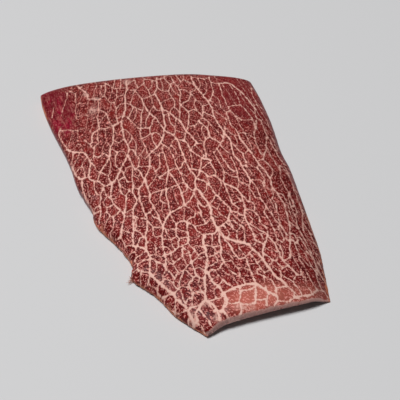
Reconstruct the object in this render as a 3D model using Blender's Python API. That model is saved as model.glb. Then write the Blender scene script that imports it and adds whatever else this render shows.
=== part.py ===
"""A raw beef steak: one thin slab cut across the grain, lying on a flat surface.

It is modelled lying down, in metres: +X to the right, +Y to the back and +Z up. The origin
is on the resting face, under the middle of the steak's box. The slab is a four-sided patch
with a domed top, a long rounded shoulder on its right, a flat resting face, and a front
edge that arches clear of the surface between its two corners.
"""

import math

import bmesh
import bpy
import numpy as np
from mathutils import Matrix

MM = 0.001

# Driving dimensions, in millimetres.
MIDDLE_THICKNESS = 13.0
DOME_DROP = 2.4  # how much thinner the slab is a dome radius from its middle
DOME_RADIUS = 95.0
FRONT_TAPER_LEFT = 0.6  # further thinning at the front edge, from its left to its right end
FRONT_TAPER_RIGHT = 4.4
FRONT_TAPER_REACH = 45.0
FRONT_LIFT_LEFT = 3.2  # height of the arch under the front edge
FRONT_LIFT_RIGHT = 5.9
FRONT_LIFT_REACH = 42.0  # how far back the arch runs
ARCH_LEFT_RISE = 0.18  # shares of the front edge over which the arch rises and falls
ARCH_RIGHT_FALL = 0.17
ARCH_MIDDLE = 0.7  # the share of the front edge at which the arch has its right height
WALL_BULGE = 0.5  # the cut sides bulge this far at mid height
SWELL_FADE = 10.0  # how far in from a rim the swells of the top grow to their full size

# The shallow swells of the top, each as (height in millimetres, turn to the right and turn
# to the back in radians a millimetre, phase in radians).
SWELLS = (
    (0.20, 0.11, 0.05, 0.4),
    (0.16, -0.09, 0.10, 2.1),
    (0.10, 0.21, -0.12, 4.0),
    (0.08, 0.06, 0.22, 1.2),
)

# The grid that the patch is made of. Crowding gathers its lines towards the rims.
CELLS_ACROSS = 30
CELLS_ALONG = 52
CROWD_ACROSS = 0.7
CROWD_ALONG = 0.5
WALL_RINGS = 3

# The edges in plan, in millimetres before centring, each a smooth line through a few places.
# Back and front run left to right, the others front to back. The flank is the thin ragged
# edge between the front left corner and the notch where the thicker left edge begins.
BACK_EDGE = (
    (-95.3, 81.3), (-88, 85.4), (-74, 90), (-50, 94.4), (-18, 98.5), (9, 100.5), (30, 99), (54, 96.6),
)
FRONT_EDGE = (
    (21.5, -100), (31, -94.6), (44, -90.5), (60, -86.3), (78, -81.8), (89, -78.6), (94.8, -77),
)
RIGHT_EDGE = (
    (94.8, -77), (92.6, -56), (91, -42), (86.2, -20.5), (82.2, -3), (76.7, 20), (71.7, 34),
    (66.2, 60), (59.6, 82), (54, 96.6),
)
FLANK_EDGE = (
    (21.5, -100), (10, -92.5), (2, -86.5), (-5.5, -78), (-11.5, -72.5), (-19.5, -67), (-24, -63),
    (-23.3, -57), (-26, -50.5), (-32, -42), (-40.8, -33), (-48.6, -24.5), (-50.2, -17),
)
LEFT_EDGE = (
    (-50.2, -17), (-54, -11), (-62, 2), (-67, 16), (-72.8, 29), (-81.5, 46), (-87.5, 58.5),
    (-92.4, 70.5), (-95.3, 81.3),
)
STEPS_PER_SPAN = 10

# How each edge rounds over, as (width in millimetres, share of the thickness): first the top,
# then the foot.
EDGE_FALLS = {
    "back": ((8.0, 0.40), (2.0, 0.12)),
    "front": ((7.0, 0.36), (2.5, 0.12)),
    "flank": ((11.0, 0.62), (2.0, 0.10)),
    "left": ((5.0, 0.36), (2.0, 0.12)),
    "right": ((34.0, 0.78), (3.0, 0.07)),
}
FALL_BLEND = 3.0  # the exponent that joins two falls at a corner

LEAN_COLOUR = (0.19, 0.032, 0.03, 1.0)
LEAN_ROUGHNESS = 0.42


def smooth_line(places):
    """A Catmull-Rom line through the places, as many close points."""
    points = np.array(places, float)
    ends = 2 * points[[0, -1]] - points[[1, -2]]
    points = np.vstack([ends[:1], points, ends[1:]])
    share = np.linspace(0, 1, STEPS_PER_SPAN, endpoint=False)[:, None]
    spans = []
    for before, start, end, after in zip(points, points[1:], points[2:], points[3:]):
        spans.append(
            start
            + 0.5 * share * (end - before)
            + share**2 * (before - 2.5 * start + 2 * end - 0.5 * after)
            + share**3 * (1.5 * (start - end) + 0.5 * (after - before))
        )
    return np.vstack([*spans, points[-2:-1]])


def edge_lines():
    """The five edges as smooth lines, moved so that their box is centred on the origin."""
    lines = {
        "back": smooth_line(BACK_EDGE),
        "front": smooth_line(FRONT_EDGE),
        "flank": smooth_line(FLANK_EDGE),
        "left": smooth_line(LEFT_EDGE),
        "right": smooth_line(RIGHT_EDGE),
    }
    every_point = np.vstack(list(lines.values()))
    middle = (every_point.min(axis=0) + every_point.max(axis=0)) / 2
    return {name: line - middle for name, line in lines.items()}


def along_line(line, share):
    """The points at these shares of a line's length."""
    steps = np.linalg.norm(np.diff(line, axis=0), axis=1)
    run = np.concatenate([[0], np.cumsum(steps)]) / steps.sum()
    return np.stack([np.interp(share, run, line[:, 0]), np.interp(share, run, line[:, 1])], axis=-1)


def distance_to(line, points):
    """How far each plan point is from a line."""
    nearest = np.full(len(points), np.inf)
    for start, end in zip(line, line[1:]):
        span = end - start
        share = np.clip((points - start) @ span / (span @ span), 0, 1)
        gap = np.linalg.norm(points - start - share[:, None] * span, axis=1)
        nearest = np.minimum(nearest, gap)
    return nearest


def ease(share):
    """A smooth step from 0 to 1."""
    share = np.clip(share, 0, 1)
    return share * share * (3 - 2 * share)


def patch(lines, u, v):
    """Plan points of the four-sided patch: u runs left to right, v runs front to back."""
    front, back = along_line(lines["front"], u), along_line(lines["back"], u)
    left = along_line(np.vstack([lines["flank"], lines["left"][1:]]), v)
    right = along_line(lines["right"], v)
    u, v = u[:, None], v[:, None]
    corners = (
        (1 - u) * (1 - v) * lines["front"][0]
        + u * (1 - v) * lines["front"][-1]
        + (1 - u) * v * lines["back"][0]
        + u * v * lines["back"][-1]
    )
    return (1 - v) * front + v * back + (1 - u) * left + u * right - corners


def rounding(distances, face):
    """The share of the thickness lost where the edges round over: face 0 is the top, 1 the foot."""
    total = 0
    for name, falls in EDGE_FALLS.items():
        width, share = falls[face]
        near = np.clip(1 - distances[name] / width, 0, 1)
        total = total + (share * (1 - np.sqrt(1 - near**2))) ** FALL_BLEND
    return total ** (1 / FALL_BLEND)


def front_share(lines, points):
    """How far to the right along the front edge points are, 0 at its left end and 1 at its right."""
    left, right = lines["front"][0, 0], lines["front"][-1, 0]
    return (points[:, 0] - left) / (right - left)


def arch_height(lines, points, distances):
    """The height of the hollow under the front edge."""
    share = front_share(lines, points)
    height = FRONT_LIFT_LEFT + (FRONT_LIFT_RIGHT - FRONT_LIFT_LEFT) * ease(share / ARCH_MIDDLE)
    height = height * ease(share / ARCH_LEFT_RISE) * ease((1 - share) / ARCH_RIGHT_FALL)
    return height * (1 - ease(distances["front"] / FRONT_LIFT_REACH))


def front_taper(lines, points, distances):
    """How much thinner the slab is near its front edge."""
    share = ease(front_share(lines, points))
    taper = FRONT_TAPER_LEFT + (FRONT_TAPER_RIGHT - FRONT_TAPER_LEFT) * share
    return taper * (1 - ease(distances["front"] / FRONT_TAPER_REACH))


def swells(points):
    """The height that the crossing swells add to the top."""
    return sum(
        height * np.sin(points @ (to_right, to_back) + phase)
        for height, to_right, to_back, phase in SWELLS
    )


def heights(lines, points):
    """(foot, top) of the slab over these plan points."""
    distances = {name: distance_to(line, points) for name, line in lines.items()}
    arch = arch_height(lines, points, distances)
    dome = (points[:, 0] ** 2 + points[:, 1] ** 2) / DOME_RADIUS**2
    rim = np.min(list(distances.values()), axis=0)
    thickness = MIDDLE_THICKNESS - DOME_DROP * dome - front_taper(lines, points, distances)
    top = arch + thickness * (1 - rounding(distances, 0))
    foot = arch + thickness * rounding(distances, 1)
    return foot, top + swells(points) * ease(rim / SWELL_FADE)


def unit_slab():
    """A closed slab over the unit square, one high, with its sides cut into rings."""
    slab = bmesh.new()
    bmesh.ops.create_grid(
        slab,
        x_segments=CELLS_ACROSS,
        y_segments=CELLS_ALONG,
        size=0.5,
        matrix=Matrix.Translation((0.5, 0.5, 0)),
    )
    made = bmesh.ops.extrude_face_region(slab, geom=slab.faces[:], use_keep_orig=True)
    raised = [item for item in made["geom"] if isinstance(item, bmesh.types.BMVert)]
    bmesh.ops.translate(slab, verts=raised, vec=(0, 0, 1))
    upright = [edge for edge in slab.edges if edge.verts[0].co.z != edge.verts[1].co.z]
    bmesh.ops.subdivide_edges(slab, edges=upright, cuts=WALL_RINGS - 1, use_grid_fill=True)
    bmesh.ops.recalc_face_normals(slab, faces=slab.faces[:])
    return slab


def crowd(share, amount):
    """Gathers evenly spaced shares towards 0 and 1."""
    return share - amount * np.sin(2 * math.pi * share) / (2 * math.pi)


def shape(slab, lines):
    """Moves each vertex of the unit slab to its place in the steak."""
    unit = np.array([vertex.co for vertex in slab.verts])
    u = crowd(unit[:, 0], CROWD_ACROSS)
    v = crowd(unit[:, 1], CROWD_ALONG)
    level = unit[:, 2]
    points = patch(lines, u, v)
    foot, top = heights(lines, points)
    z = foot + level * (top - foot)

    # The walls bulge at mid height, away from the middle of the steak.
    outward = points / np.linalg.norm(points, axis=1, keepdims=True).clip(1)
    points = points + outward * (WALL_BULGE * 4 * level * (1 - level))[:, None]

    for vertex, (x, y), height in zip(slab.verts, points, z):
        vertex.co = (x * MM, y * MM, height * MM)


def meat_material():
    """Dark red lean, slightly moist."""
    material = bpy.data.materials.new("raw_beef")
    material.use_nodes = True
    surface = material.node_tree.nodes["Principled BSDF"]
    surface.inputs["Base Color"].default_value = LEAN_COLOUR
    surface.inputs["Roughness"].default_value = LEAN_ROUGHNESS
    surface.inputs["Metallic"].default_value = 0.0
    return material


def beef_steak():
    """The steak, as one object in a collection of its own."""
    slab = unit_slab()
    shape(slab, edge_lines())
    mesh = bpy.data.meshes.new("beef_steak")
    slab.to_mesh(mesh)
    slab.free()
    mesh.shade_smooth()
    mesh.materials.append(meat_material())
    steak = bpy.data.objects.new("beef_steak", mesh)
    collection = bpy.data.collections.new("raw_beef_steak")
    bpy.context.scene.collection.children.link(collection)
    collection.objects.link(steak)
    return steak


for existing in list(bpy.data.objects):
    bpy.data.objects.remove(existing)
beef_steak()
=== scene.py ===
"""The looks of the raw beef steak: dark red lean bundles in a net of pale fat veins.

Lengths are in millimetres until the mesh is made, which is in metres. The slab's form repeats
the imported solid's: +X to the right, +Y to the back, +Z up, resting on z = 0.
"""

import math

import bpy
import numpy as np
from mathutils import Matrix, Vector, kdtree
from mathutils.geometry import delaunay_2d_cdt


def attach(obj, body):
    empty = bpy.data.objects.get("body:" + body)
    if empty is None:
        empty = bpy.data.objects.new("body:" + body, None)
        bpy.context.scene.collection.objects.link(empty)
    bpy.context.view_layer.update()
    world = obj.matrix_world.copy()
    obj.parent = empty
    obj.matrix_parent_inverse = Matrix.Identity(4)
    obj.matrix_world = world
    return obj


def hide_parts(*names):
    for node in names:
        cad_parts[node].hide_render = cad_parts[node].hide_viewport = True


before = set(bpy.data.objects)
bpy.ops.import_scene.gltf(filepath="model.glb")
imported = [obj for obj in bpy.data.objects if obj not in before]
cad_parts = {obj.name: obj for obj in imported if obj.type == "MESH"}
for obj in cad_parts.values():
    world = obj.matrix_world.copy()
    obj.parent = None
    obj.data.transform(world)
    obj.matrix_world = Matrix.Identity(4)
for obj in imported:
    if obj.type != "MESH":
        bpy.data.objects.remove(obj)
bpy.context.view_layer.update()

MM = 0.001
CHANCE = np.random.default_rng(7)

# The view: a long lens that looks down along +Y. Pixels are those of a 400 x 400 picture.
AIM = (17.6, -3.9, 0.0)
ELEVATION = 56.0
DISTANCE = 506.0
LENS = 70.0
SENSOR = 36.0
PICTURE = 400
CLIP_START = 0.01
SIGHT_ROUNDS = 6  # how often a sight line's end is corrected for the top's height

# The slab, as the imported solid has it.
MIDDLE_THICKNESS = 13.0
DOME_DROP = 2.4
DOME_RADIUS = 95.0
FRONT_TAPER_LEFT = 0.6
FRONT_TAPER_RIGHT = 4.4
FRONT_TAPER_REACH = 45.0
FRONT_LIFT_LEFT = 3.2
FRONT_LIFT_RIGHT = 5.9
FRONT_LIFT_REACH = 42.0
ARCH_LEFT_RISE = 0.18
ARCH_RIGHT_FALL = 0.17
ARCH_MIDDLE = 0.7
WALL_BULGE = 0.5
SWELL_FADE = 10.0
SWELLS = (
    (0.20, 0.11, 0.05, 0.4),
    (0.16, -0.09, 0.10, 2.1),
    (0.10, 0.21, -0.12, 4.0),
    (0.08, 0.06, 0.22, 1.2),
)
BACK_EDGE = (
    (-95.3, 81.3), (-88, 85.4), (-74, 90), (-50, 94.4), (-18, 98.5), (9, 100.5), (30, 99), (54, 96.6),
)
FRONT_EDGE = (
    (21.5, -100), (31, -94.6), (44, -90.5), (60, -86.3), (78, -81.8), (89, -78.6), (94.8, -77),
)
RIGHT_EDGE = (
    (94.8, -77), (92.6, -56), (91, -42), (86.2, -20.5), (82.2, -3), (76.7, 20), (71.7, 34),
    (66.2, 60), (59.6, 82), (54, 96.6),
)
FLANK_EDGE = (
    (21.5, -100), (10, -92.5), (2, -86.5), (-5.5, -78), (-11.5, -72.5), (-19.5, -67), (-24, -63),
    (-23.3, -57), (-26, -50.5), (-32, -42), (-40.8, -33), (-48.6, -24.5), (-50.2, -17),
)
LEFT_EDGE = (
    (-50.2, -17), (-54, -11), (-62, 2), (-67, 16), (-72.8, 29), (-81.5, 46), (-87.5, 58.5),
    (-92.4, 70.5), (-95.3, 81.3),
)
STEPS_PER_SPAN = 10
EDGE_FALLS = {
    "back": ((8.0, 0.40), (2.0, 0.12)),
    "front": ((7.0, 0.36), (2.5, 0.12)),
    "flank": ((11.0, 0.62), (2.0, 0.10)),
    "left": ((5.0, 0.36), (2.0, 0.12)),
    "right": ((34.0, 0.78), (3.0, 0.07)),
}
FALL_BLEND = 3.0

# How close the mesh's points lie, and where rows of them follow the rim.
TOP_SPACING = 0.85
FOOT_SPACING = 1.3
RIM_SPACING = 0.8
RIM_ROWS = (0.12, 0.4, 0.9, 1.6)
CROWDED = 0.5  # points nearer than this share of the spacing are dropped
WALL_LEVELS = np.linspace(0, 1, 10)
SHAKE = 0.15  # the honeycomb's points are moved by up to this share of the spacing
RIM_CLEAR = 0.8  # and dropped where they are nearer to the rim than this share of its first row
INSIDE_ONLY = 1  # the triangles asked for are those inside the outline
SAME_PLACE = 1e-7  # points closer than this are one

# The main veins, by pixels that lie on them, each with its half width in millimetres.
HAIR, FINE, MIDDLE, THICK = 0.22, 0.38, 0.56, 0.8
MAIN_VEINS = (
    # back left
    (MIDDLE, (126, 81), (126.5, 88), (125, 96), (126, 106), (123.5, 116), (121.8, 122),
     (124, 138), (128, 146), (127.5, 155), (121, 168), (116, 179), (111.5, 184)),
    (FINE, (116.5, 119.5), (123.5, 116), (132, 122), (138.5, 128)),
    (FINE, (122.5, 129), (127, 131), (132, 137), (128, 146)),
    (MIDDLE, (122, 121), (117, 124), (108, 128), (97.5, 130), (92.5, 134), (91.5, 142)),
    (FINE, (97.5, 130), (98, 138), (99, 142.5), (95, 147), (93.5, 157), (90, 162)),
    (FINE, (85.5, 140), (91, 146), (94.5, 149)),
    (MIDDLE, (67, 149.5), (73.5, 152), (79, 152.5)),
    (FINE, (73.5, 152), (72, 160), (72.3, 168)),
    (MIDDLE, (113.3, 126), (113.7, 140), (110, 149), (109.3, 158), (102, 170), (97.5, 181)),
    (FINE, (113.7, 140), (118, 143), (123.5, 139)),
    (MIDDLE, (84, 153), (90, 162), (89.5, 170), (89.3, 179), (97.5, 181), (104, 186), (111.5, 184)),
    (FINE, (95.5, 99.5), (100, 99), (104, 96), (106, 90), (105, 84)),
    (FINE, (99, 100), (99.5, 109), (106.5, 114), (109.5, 122)),
    (FINE, (76.5, 86), (85, 92), (88, 99)),
    (HAIR, (67.5, 94), (66, 101), (63, 108), (61.5, 116)),
    (HAIR, (75, 96), (76, 105), (75.5, 112), (76.5, 118)),
    (HAIR, (53.5, 108), (52, 118)),
    (FINE, (79, 88), (84, 92), (88, 95), (88.5, 99)),
    (HAIR, (69.5, 91), (75, 94.5)),
    (FINE, (105, 83), (111, 87), (115.5, 89)),
    (FINE, (99.5, 109), (97.5, 117), (98.5, 127)),
    (FINE, (60, 129), (59.5, 137), (64, 144.5), (68, 150)),
    (HAIR, (60.5, 131), (70, 130.5), (78, 131)),
    (MIDDLE, (72.3, 168), (76, 175), (80, 179.5), (84, 178.5)),
    # back middle
    (FINE, (134, 90), (142, 99.5), (143.5, 107), (141, 115), (140.8, 128), (142, 140), (150, 157)),
    (MIDDLE, (142, 99.5), (146, 109), (155, 118)),
    (MIDDLE, (156.5, 78), (157, 88), (155, 93.5), (159, 101), (163.5, 115), (165, 126), (164, 130),
     (160.5, 143), (150.5, 154), (149.5, 165), (147.5, 173), (144.5, 180)),
    (FINE, (142, 99.5), (149, 96.5), (155, 93.5)),
    (MIDDLE, (164, 130), (172, 134.5), (178, 139.5), (185, 141.5), (191, 150), (202, 158), (211, 160)),
    (FINE, (164, 130), (155, 118), (150, 127), (141, 128.5)),
    (FINE, (160.5, 143), (168, 148), (172.5, 155)),
    (FINE, (162.5, 147), (166, 161), (168.5, 171)),
    (MIDDLE, (161.5, 108), (169, 113), (179.5, 120.5), (186.5, 131), (192, 137), (197, 143)),
    (FINE, (163.5, 115), (169, 113), (174, 107), (180, 113)),
    (FINE, (172.5, 80), (180, 92), (180, 104), (179.5, 120.5)),
    (FINE, (174, 107), (174, 101), (169, 92), (171, 84)),
    (FINE, (181, 105), (189, 113), (188.5, 122), (186.5, 131), (184.5, 140)),
    (FINE, (186.5, 131), (190.5, 126), (196, 125.5), (198, 120.5), (203, 117.5), (202.5, 106)),
    (FINE, (181, 105), (189, 99), (190.5, 92)),
    # back right
    (MIDDLE, (191, 76.5), (193.5, 83.5), (203, 96), (208, 101), (212, 108.5), (213, 114),
     (218, 124), (224.5, 133), (230, 140), (232.5, 152), (240, 163), (249, 178.5)),
    (MIDDLE, (199, 121.5), (207.5, 129), (210, 136), (221, 142.5), (224.5, 133)),
    (FINE, (203, 117.5), (208.5, 123), (207.5, 129)),
    (FINE, (210, 136), (204, 143), (206, 153), (203, 158)),
    (FINE, (221, 142.5), (223, 148), (229.5, 154.5), (235.5, 167), (239, 180), (237, 189.5)),
    (FINE, (209, 77), (213, 91), (210, 100)),
    (FINE, (218.5, 84), (224, 98), (230, 110), (240.5, 120)),
    (FINE, (226, 112), (231, 125), (238, 133), (239.5, 138.5)),
    (MIDDLE, (221, 83.5), (228, 83), (240, 91), (250, 102), (255.5, 109.5)),
    (FINE, (240, 105), (247.5, 112), (255, 125.5), (254.5, 136), (256, 143.5), (261, 154)),
    (FINE, (261, 121), (266, 134), (277, 154), (287, 171), (294, 190), (302, 213), (303, 230)),
    (FINE, (266.5, 138), (266, 150), (262.5, 160)),
    (FINE, (266, 146), (272, 158), (279.5, 169), (281, 178), (291, 197), (297, 212)),
    (HAIR, (204.5, 80), (206.8, 88), (205, 94.5)),
    (HAIR, (226.5, 119), (225.5, 126), (224.5, 133)),
    (FINE, (254.5, 109), (256, 118), (256.5, 129)),
    (HAIR, (250.5, 86), (252.5, 95), (256, 104)),
    (HAIR, (272, 146), (279, 158), (286, 170), (293, 185)),
    (MIDDLE, (239.5, 138.5), (250, 151), (259.5, 164), (270, 178), (272.5, 187), (282, 200),
     (287, 214), (290, 230), (289.5, 257)),
    # middle
    (MIDDLE, (178, 140), (182, 152), (189.5, 168.5), (195.5, 177.5), (196, 188.5)),
    (FINE, (160, 177), (168.5, 171), (178, 169.5), (184.5, 182)),
    (MIDDLE, (189.5, 168.5), (200, 170.5), (207, 175.5), (215, 176), (223, 182), (237, 189.5),
     (241, 195), (245, 209)),
    (FINE, (200, 170.5), (208, 163.5), (211, 160)),
    (THICK, (196, 188.5), (200, 192), (205, 199), (209.5, 205), (211.3, 214), (213.5, 221), (218, 229)),
    (MIDDLE, (195.5, 177.5), (204, 181.5), (210, 186), (216, 194), (223, 201), (230.5, 210)),
    (MIDDLE, (168.5, 171), (178, 185), (181.5, 193), (184, 205.5)),
    (FINE, (178, 185), (184, 183), (191, 189.5), (196, 188.5)),
    (MIDDLE, (196, 188.5), (191, 199), (184, 205.5), (170, 213)),
    (FINE, (178, 185), (166.5, 190), (168, 203), (170, 213)),
    (FINE, (184, 205.5), (184.5, 219), (187, 223)),
    (FINE, (168.5, 171), (167, 181), (166.5, 190)),
    (MIDDLE, (170, 213), (162, 227)),
    (FINE, (170, 213), (175.5, 225), (177, 235), (180, 238), (188, 237)),
    (FINE, (175.5, 225), (181, 221.5), (187, 221.5)),
    # middle left
    (MIDDLE, (127.5, 155), (134, 168), (139, 171), (144.5, 180), (150, 195), (150.5, 202),
     (157, 213), (162, 227), (162.5, 240), (165, 255), (166, 269)),
    (MIDDLE, (144.5, 180), (139.5, 190), (139.5, 199), (146.5, 219), (146, 235), (147, 250)),
    (FINE, (132.5, 165), (132.5, 180), (134, 186), (139.5, 190)),
    (MIDDLE, (134, 186), (132.5, 192), (136.5, 200), (133.5, 209), (133, 225), (133.3, 246)),
    (FINE, (136.5, 200), (139.5, 199)),
    (FINE, (150, 195), (158, 190.5), (166.5, 190)),
    (FINE, (146.5, 219), (154, 227), (162, 227)),
    (MIDDLE, (133.3, 246), (147, 250), (150, 257), (162, 264.5), (166, 269)),
    (FINE, (152.5, 226), (154.5, 236), (162, 236.5)),
    (FINE, (104, 189), (107, 196), (111.5, 199)),
    (MIDDLE, (111.5, 184), (112, 200), (123.5, 214.5), (123.5, 222), (120.5, 236)),
    (FINE, (126.5, 199), (124.5, 213)),
    (FINE, (117.5, 177), (121, 190), (124.5, 195), (129, 192)),
    (FINE, (113.5, 216), (113.5, 225), (110.5, 236)),
    # left of the middle
    (FINE, (120.5, 169), (123, 173.5), (125, 177.5), (127.5, 181.5)),
    (FINE, (119, 180), (122, 178.5), (125, 177.5)),
    (HAIR, (120.5, 185), (124, 187.5), (127, 190), (131, 189.5)),
    (FINE, (119, 169.5), (116.5, 166.5), (115, 162.5), (116, 157), (117, 152)),
    (HAIR, (109.5, 158), (112, 155.5), (116, 155)),
    (FINE, (94.5, 155.5), (99, 157.5), (101.5, 154.5), (104.5, 153), (109, 156.5)),
    (HAIR, (92, 163), (95, 167.5), (97, 171)),
    (FINE, (101, 171.5), (104.5, 174.5), (108.5, 177), (110, 181), (110.8, 184)),
    (HAIR, (109.5, 159), (110.5, 166), (109.5, 173)),
    (MIDDLE, (82.5, 182), (82.5, 189), (85, 197), (88, 203), (91, 208), (94.5, 214)),
    (FINE, (94.5, 181.5), (94.5, 188), (97, 195)),
    (HAIR, (87, 184), (88.5, 190), (90, 196)),
    (FINE, (102.5, 187.5), (101, 193), (100.5, 200), (100, 206), (96, 207.5), (94.5, 211)),
    (FINE, (107, 197), (104, 201), (104.5, 206), (108, 207), (112, 205.5)),
    (FINE, (106, 212), (109.5, 214.5), (113, 217), (116.5, 214.5), (118.5, 212)),
    (FINE, (100.5, 207), (101, 214), (99.5, 222)),
    (FINE, (123.5, 214.5), (128, 211.5), (132.5, 209)),
    (HAIR, (123.5, 215), (128, 216.5), (133, 216)),
    (FINE, (134, 216.5), (136, 221), (137.5, 226)),
    (FINE, (134, 216), (140, 218.5), (146, 219)),
    (FINE, (133, 150), (136.5, 155), (139, 159), (139, 164), (137.5, 168), (135.5, 169)),
    (HAIR, (142, 167), (145, 166), (148.5, 166.5)),
    # around the middle
    (FINE, (161, 191), (161, 196), (161, 200), (164, 202.5), (168, 203.5)),
    (HAIR, (161, 200), (158, 202), (156, 205)),
    (HAIR, (150, 166), (153, 168), (155, 171), (157, 174.5), (159.5, 179)),
    (HAIR, (151.5, 150.5), (155, 153.5), (157.5, 155.5), (160, 153)),
    (FINE, (172.5, 155), (174.5, 159), (175.5, 163), (177, 167), (178, 169.5)),
    (FINE, (185.5, 161.5), (182.5, 163.5), (181, 167)),
    (HAIR, (183, 154.5), (180, 155.5), (178, 157.5), (176, 160)),
    (HAIR, (182, 173), (186, 175.8), (189.5, 174), (191.5, 172)),
    (FINE, (200, 171.5), (198.5, 175), (196, 178)),
    (FINE, (207, 176), (208.5, 180), (209.5, 185)),
    (FINE, (210, 163.5), (213, 167), (216, 170.5), (214.5, 175.5)),
    (FINE, (193.5, 193), (195.5, 196.5), (196.8, 200), (197.5, 204), (199, 208), (201, 212),
     (201.8, 216), (203.8, 220), (205.6, 223)),
    (FINE, (194, 226), (200, 225.5), (205.6, 223), (209, 220), (212.5, 217)),
    (HAIR, (185, 205.5), (188.5, 206.5), (191.5, 209)),
    (FINE, (187, 221.5), (191, 218), (194, 216), (196, 213.5), (201, 212)),
    (FINE, (215.5, 194.5), (213.5, 198), (210.5, 203.5)),
    (FINE, (223.5, 182), (226.5, 188), (228.5, 193.5), (230, 198.5), (233, 203)),
    (HAIR, (221, 183), (220, 188), (219, 195)),
    (FINE, (213, 152), (217, 158), (218.5, 162), (222.5, 168), (223.5, 173), (224.5, 178),
     (223, 182)),
    (HAIR, (223.5, 172), (228, 174), (233, 176.5)),
    (FINE, (228, 219), (230.5, 222), (233, 226.5)),
    (FINE, (201.5, 158.5), (201.5, 163), (200.5, 170)),
    (HAIR, (190, 151), (191.5, 158), (192, 164), (191, 169)),
    (FINE, (205, 147.5), (206.5, 153), (206, 158.5)),
    (FINE, (217, 148.5), (221, 155.5), (225.5, 162.5), (229, 166.5), (234, 172)),
    # below the middle
    (FINE, (163, 228), (167.5, 229.5), (173, 229), (176, 229.5)),
    (FINE, (176.5, 236), (173.5, 238.5), (170.5, 240), (172, 244), (173.5, 247.5), (176, 249)),
    (HAIR, (166, 230), (167.5, 234.5), (170, 238), (170.5, 240)),
    (HAIR, (162.5, 240), (166, 238.5), (170.5, 240)),
    (FINE, (179.5, 238), (179, 242), (179, 247.5)),
    (HAIR, (157, 248.5), (160, 247), (163.5, 246.5)),
    (HAIR, (155.5, 249), (155.5, 256)),
    (FINE, (149.5, 255.5), (156, 255), (160.5, 256.5), (165, 254.5)),
    (FINE, (183, 255.5), (178.5, 259.5), (174, 263.5)),
    (HAIR, (170.5, 253.5), (172.5, 259), (174, 263)),
    (FINE, (183, 247), (182, 251), (183, 255.5), (184.5, 259), (186.5, 264)),
    (FINE, (184, 248), (188, 251.5), (190.5, 256.5), (191.5, 262)),
    (HAIR, (183, 255.5), (186, 253.5), (188.5, 252)),
    (FINE, (190.5, 255.5), (193.5, 252.5), (194.5, 250.5)),
    (FINE, (194, 250), (195, 245.5), (199, 245.5), (203.5, 248)),
    (FINE, (198, 255), (201, 253.5), (205, 252)),
    (HAIR, (196, 258.5), (200, 258.5), (206, 256.5)),
    (MIDDLE, (196, 275.5), (192, 279.5), (188.5, 284), (190.5, 289)),
    (FINE, (190.5, 289), (191.5, 294), (192.5, 299)),
    (FINE, (191.5, 294), (197, 291.5), (203, 292), (206, 294)),
    # front left
    (MIDDLE, (150, 257), (149, 272.5)),
    (THICK, (149, 272.5), (152, 276), (158, 282), (168.5, 290), (175, 297), (188.5, 311), (191, 318)),
    (FINE, (139, 270.5), (149, 272.5)),
    (MIDDLE, (157.5, 282), (158.2, 286), (157.2, 290), (157, 294), (160, 296.5), (163, 297.5),
     (167, 296.5), (171, 294)),
    (FINE, (162.5, 297.5), (164.5, 300), (163.5, 303.5), (162, 306)),
    (MIDDLE, (176.5, 299.5), (176, 305), (175.5, 309), (175, 314)),
    (FINE, (175.5, 312), (180, 312.8), (185, 310.5), (187.5, 310)),
    (FINE, (187.5, 311), (189, 316), (188.5, 323)),
    (FINE, (185, 306), (186.5, 301.5), (190, 298.5), (192.5, 296), (196, 293.5), (201, 293),
     (205, 295)),
    (FINE, (190.5, 298), (193, 301), (192.5, 305), (190, 308), (188, 309)),
    (MIDDLE, (190, 309), (192.5, 307.5), (197, 306), (201, 304)),
    (FINE, (178.5, 288), (175.5, 291.5), (173.5, 295.5)),
    (THICK, (190, 315), (193, 322), (194, 330)),
    (FINE, (165, 257), (168.5, 261), (173.5, 265.5), (178.5, 272.5), (182.5, 271)),
    (FINE, (166, 269.5), (169.5, 271), (172, 275), (174, 278.5)),
    (FINE, (178.5, 272.5), (175, 277), (173, 282), (174.5, 286), (178.5, 288.5)),
    (FINE, (166, 269.5), (163.5, 275), (162.5, 283)),
    (FINE, (162.5, 284), (168.5, 289), (170.5, 295)),
    (FINE, (191.5, 262), (184, 271), (179.5, 285), (184, 301)),
    (MIDDLE, (191.5, 262), (196.5, 274.5), (204, 279.5)),
    (FINE, (188, 243), (178, 248), (168, 255)),
    (FINE, (188, 243), (194.5, 251), (198, 256), (191.5, 262)),
    (MIDDLE, (187, 223), (188, 237), (188, 243)),
    # front
    (MIDDLE, (187, 223), (193, 225.5), (200.5, 233.5), (212, 233.5), (218, 229)),
    (THICK, (204, 235), (203.5, 245), (207, 257), (206, 270), (204.5, 280), (205.5, 295), (207, 301)),
    (THICK, (197, 321), (196, 314), (200, 306), (207, 301), (216, 309), (219.5, 319)),
    (THICK, (206, 270), (213, 281), (224, 293), (227, 303), (222, 312)),
    (MIDDLE, (218, 229), (219.5, 240), (222.5, 260.5)),
    (FINE, (207, 257), (213, 255.5), (220, 251.5)),
    (FINE, (206, 267), (211, 266), (215, 262.5), (222.5, 260.5), (221.5, 266), (218, 269.5),
     (212, 270.5)),
    (FINE, (204, 246), (208, 245), (212, 246.5), (216, 247), (220, 245.5)),
    (FINE, (212, 234), (212.5, 240), (212, 246.5), (214.5, 249), (215, 255)),
    (HAIR, (215, 255), (217, 258.5), (218.5, 261)),
    (HAIR, (221, 267), (223.5, 271), (229, 275)),
    (THICK, (218, 229), (226, 237.5), (239, 242), (246, 243.5), (255, 251), (264, 260.5),
     (273, 273), (286, 285)),
    (MIDDLE, (222, 234), (232, 249), (238, 258), (246, 258), (250, 270), (255.5, 284)),
    (MIDDLE, (230.5, 210), (228, 219.5), (218, 229)),
    (FINE, (230.5, 210), (240, 214), (245, 216)),
    (THICK, (224, 293), (240, 286), (255.5, 284), (266, 290), (276, 296)),
    (FINE, (222.5, 260.5), (231, 271), (244, 279.5)),
    # front right
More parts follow.
